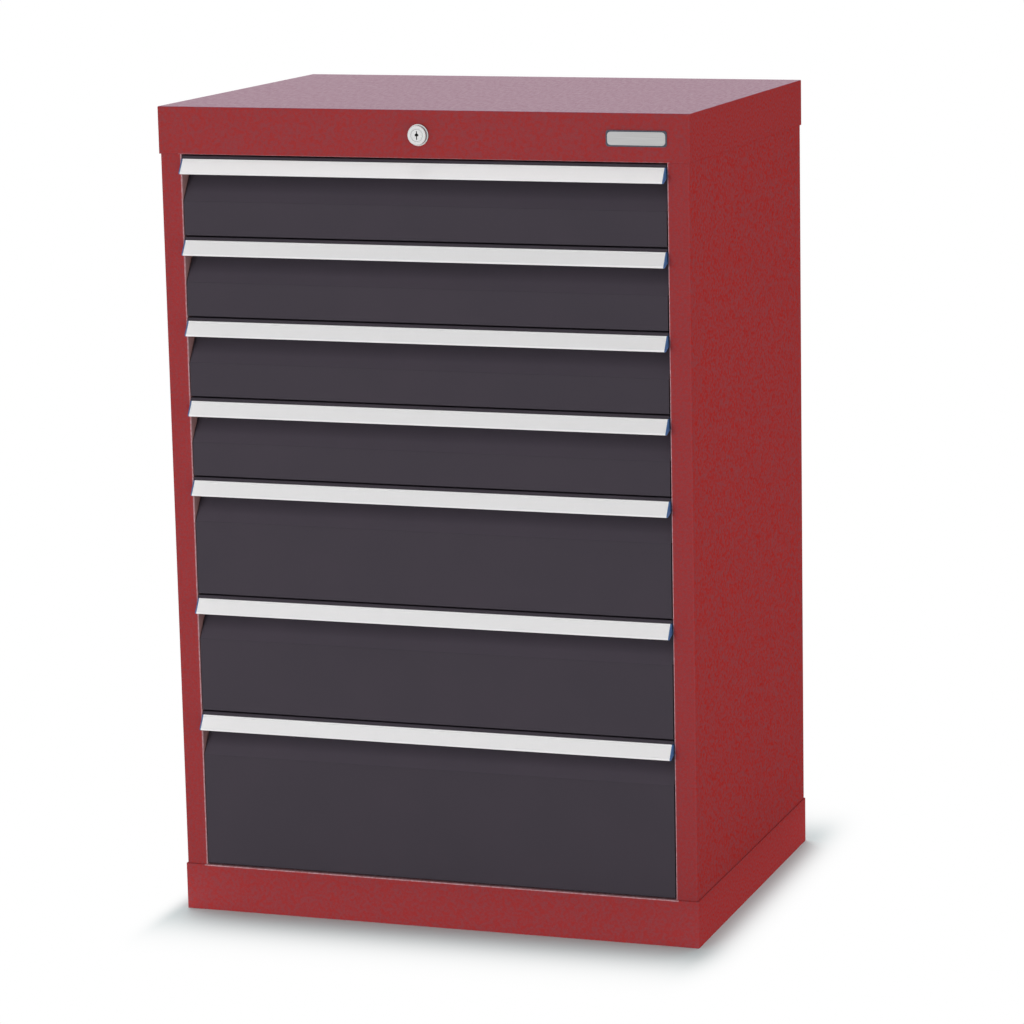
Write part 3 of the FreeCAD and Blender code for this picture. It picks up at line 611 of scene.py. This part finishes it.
def rounded_slab(name, size, middle, corner, ease):
    """A slab in the XZ plane with rounded corners and an eased front edge."""
    shape = bmesh.new()
    bmesh.ops.create_cube(shape, size=1.0)
    bmesh.ops.scale(shape, vec=size, verts=shape.verts)
    along_depth = [e for e in shape.edges if abs(e.verts[0].co.y - e.verts[1].co.y) > size.y / 2]
    bmesh.ops.bevel(shape, geom=along_depth, affect="EDGES", offset=corner, segments=10, profile=0.5,
                    material=-1)
    front_edges = [e for e in shape.edges if all(v.co.y < 0 for v in e.verts)]
    bmesh.ops.bevel(shape, geom=front_edges, affect="EDGES", offset=ease, segments=2, profile=0.5,
                    material=-1)
    bmesh.ops.translate(shape, verts=shape.verts, vec=middle)
    mesh = bpy.data.meshes.new(name)
    shape.to_mesh(mesh)
    shape.free()
    made = bpy.data.objects.new(name, mesh)
    bpy.context.scene.collection.objects.link(made)
    return made


backing_size = Vector((plate_size.x, rim_lift, plate_size.z))
backing_middle = Vector((plate_middle.x, plate_high.y - rim_lift / 2, plate_middle.z))
backing = rounded_slab("plate_backing", backing_size, backing_middle, backing_corner, plate_ease)
field_size = Vector((plate_size.x - 2 * rim, plate_size.y, plate_size.z - 2 * rim))
field = rounded_slab("plate_field", field_size, plate_middle, field_corner, plate_ease)

dark_anodised, look, shader = finish("dark_anodised_edge", 0.42, 0.3)
edge = placed(look, soft_edge, {"Radius": 0.0003})
specks = placed(look, grain, {"Fine": 1800.0, "Coarse": 400.0})
colour = blend(look, specks.outputs["Patch"], anodised_dark, anodised_worn)
put(look, shader.inputs["Base Color"], blend(look, edge.outputs["Edge"], colour, anodised_edge))
bumped(look, shader, specks.outputs["Height"], 0.00002, edge.outputs["Normal"])
backing.data.materials.append(dark_anodised)

# Brushed lines: long fine streaks along X, as on brushed or drawn aluminium.
brushed, start, end = effect("brushed_lines", [("Lines", VALUE, 2200.0), ("Length", VALUE, 0.012)],
                             [("Streak", VALUE), ("Soft", VALUE)])
point = object_place(brushed)
long = add(brushed, "ShaderNodeCombineXYZ", {0: start.outputs["Length"], 1: 1.0, 2: 1.0}).outputs[0]
lines = add(brushed, "ShaderNodeTexNoise", {"Vector": vector_math(brushed, "MULTIPLY", point, long),
                                            "Scale": start.outputs["Lines"],
                                            "Detail": 3.0, "Roughness": 0.6}).outputs["Fac"]
soft = add(brushed, "ShaderNodeTexNoise", {"Vector": point, "Scale": 240.0,
                                           "Detail": 2.0}).outputs["Fac"]
put(brushed, end.inputs["Streak"], spread(brushed, lines, 0.28, 0.72))
put(brushed, end.inputs["Soft"], spread(brushed, soft, 0.30, 0.70))

plate_silver, look, shader = finish("brushed_plate", 0.34, 0.5)
shader.inputs["Metallic"].default_value = 1.0
edge = placed(look, soft_edge, {"Radius": 0.0003})
lines = placed(look, brushed, {"Lines": 2600.0, "Length": 0.01})
colour = blend(look, lines.outputs["Streak"], grey(0.58), grey(0.47))
put(look, shader.inputs["Base Color"], blend(look, edge.outputs["Edge"], colour, grey(0.62)))
put(look, shader.inputs["Roughness"], between(look, lines.outputs["Streak"], 0.30, 0.44))
bumped(look, shader, lines.outputs["Streak"], 0.00002, edge.outputs["Normal"])
field.data.materials.append(plate_silver)
for piece in (backing, field):
    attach(piece, "housing")
    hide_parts("name_plate")

# Drawers: a folded tray with slotted walls, coated light grey, hangs between its runners and
# carries a front folded from sheet and coated a smooth satin anthracite.
drawer_count = 7
tray_grey = (0.515, 0.525, 0.525, 1.0)
tray_dull_grey = (0.490, 0.500, 0.505, 1.0)
tray_edge = (0.62, 0.62, 0.61, 1.0)
front_grey = (0.0490, 0.0408, 0.0523, 1.0)
front_dull_grey = (0.0467, 0.0394, 0.0504, 1.0)
front_edge = (0.080, 0.073, 0.084, 1.0)
front_speck = (0.97, 1.03)

grey_paint, look, shader = finish("light_grey_powder_coat", 0.46, 0.30)
edge = placed(look, soft_edge, {"Radius": 0.0006})
specks = placed(look, grain, {"Fine": 900.0, "Coarse": 160.0})
colour = blend(look, specks.outputs["Patch"], tray_grey, tray_dull_grey)
put(look, shader.inputs["Base Color"], blend(look, edge.outputs["Edge"], colour, tray_edge))
bumped(look, shader, specks.outputs["Height"], 0.00007, edge.outputs["Normal"])

anthracite, look, shader = finish("anthracite_powder_coat", 0.48, 0.10)
edge = placed(look, soft_edge, {"Radius": 0.0006})
specks = placed(look, grain, {"Fine": 1100.0, "Coarse": 14.0})
colour = blend(look, specks.outputs["Patch"], front_grey, front_dull_grey)
colour = tone(look, colour, specks.outputs["Speck"], *front_speck)

# On the finger recess's slope the colour is painted lighter low down, painted light against the shade
# under the handle, so that the fold at its foot hardly shows. It is a little less light right at the
# fold, and plain high up behind the handle. Inward is zero at the fold and one at the back.
recess_depth = 0.0228
slope_normal = 0.55
foot_part = 0.30
upper_part = 0.82
foot_dip = 0.91
slope_painted_light = 1.46
front_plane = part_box("drawer_1_front")[0].y
rise = axes(look, surface_normal(look))["Z"]
slope = combined(look, "MULTIPLY", spread(look, rise, slope_normal - 0.15, slope_normal - 0.05),
                 spread(look, rise, slope_normal + 0.15, slope_normal + 0.05))
inward = spread(look, axes(look, object_place(look))["Y"], front_plane, front_plane + recess_depth)
level = combined(look, "MULTIPLY", spread(look, inward, 0.0, foot_part, foot_dip, 1.0),
                 spread(look, inward, foot_part, upper_part, slope_painted_light, 1.0))
colour = scaled(look, colour, between(look, slope, 1.0, level))
put(look, shader.inputs["Base Color"], blend(look, edge.outputs["Edge"], colour, front_edge))
bumped(look, shader, specks.outputs["Height"], 0.00003, edge.outputs["Normal"])

# Handles: an extruded aluminium rail across the whole front, clear anodised to a fine matt, with
# a bead along its upper and lower edge that holds the label strip in its channel. A blue plastic
# plate closes each end.
aluminium_bright = (0.910, 0.905, 0.910, 1.0)
aluminium_dull = (0.870, 0.867, 0.872, 1.0)
cap_blue = (0.045, 0.128, 0.300, 1.0)
cap_worn_blue = (0.036, 0.108, 0.262, 1.0)
end_cap = 0.0015
joint_width = 0.00002
rail_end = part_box("drawer_1_handle")[1].x - end_cap

aluminium, look, shader = finish("anodised_aluminium", 0.46, 0.5)
edge = placed(look, soft_edge, {"Radius": 0.0004})
lines = placed(look, brushed, {"Lines": 1500.0, "Length": 0.02})
colour = blend(look, lines.outputs["Streak"], aluminium_bright, aluminium_dull)
colour = blend(look, edge.outputs["Edge"], colour, grey(0.93))
side_place = axes(look, vector_math(look, "ABSOLUTE", object_place(look)))
capped = spread(look, side_place["X"], rail_end - joint_width / 2, rail_end + joint_width / 2)
specks = placed(look, grain, {"Fine": 1200.0, "Coarse": 300.0})
plastic = blend(look, specks.outputs["Patch"], cap_blue, cap_worn_blue)
put(look, shader.inputs["Base Color"], blend(look, capped, colour, plastic))
put(look, shader.inputs["Metallic"], between(look, capped, 0.80, 0.0))
put(look, shader.inputs["Roughness"], between(look, lines.outputs["Soft"], 0.42, 0.52))
bumped(look, shader, lines.outputs["Streak"], 0.00002, edge.outputs["Normal"])

# Label strips: white card under a clear matt film, slid into the handle's channel and left blank.
card_white = (0.925, 0.917, 0.922, 1.0)
card_shaded = (0.885, 0.877, 0.882, 1.0)

card, look, shader = finish("label_card", 0.50, 0.25)
edge = placed(look, soft_edge, {"Radius": 0.0002})
specks = placed(look, grain, {"Fine": 1500.0, "Coarse": 420.0})
colour = blend(look, specks.outputs["Speck"], card_white, card_shaded)
colour = blend(look, between(look, specks.outputs["Patch"], 0.0, 0.5), colour, grey(0.890))
put(look, shader.inputs["Base Color"], blend(look, edge.outputs["Edge"], colour, grey(0.93)))
shader.inputs["Coat Weight"].default_value = 0.12
shader.inputs["Coat Roughness"].default_value = 0.30
bumped(look, shader, specks.outputs["Height"], 0.00002, edge.outputs["Normal"])

# Runners and carriages: rolled steel strip, zinc plated, with ground steel rollers. They are the
# last pieces of each drawer, so all seven drawers get their finishes here.
roller_bright = (0.56, 0.57, 0.59, 1.0)
roller_dull = (0.42, 0.43, 0.44, 1.0)
roller_steel = plated("roller_steel", roller_bright, roller_dull, 0.20, 0.34, 120.0)

drawer_finishes = {"tray": grey_paint, "front": anthracite, "handle": aluminium,
                   "label_strip": card, "runners": zinc, "carriages": roller_steel}
for number in range(1, drawer_count + 1):
    for part, made in drawer_finishes.items():
        dress(made, f"drawer_{number}_{part}")
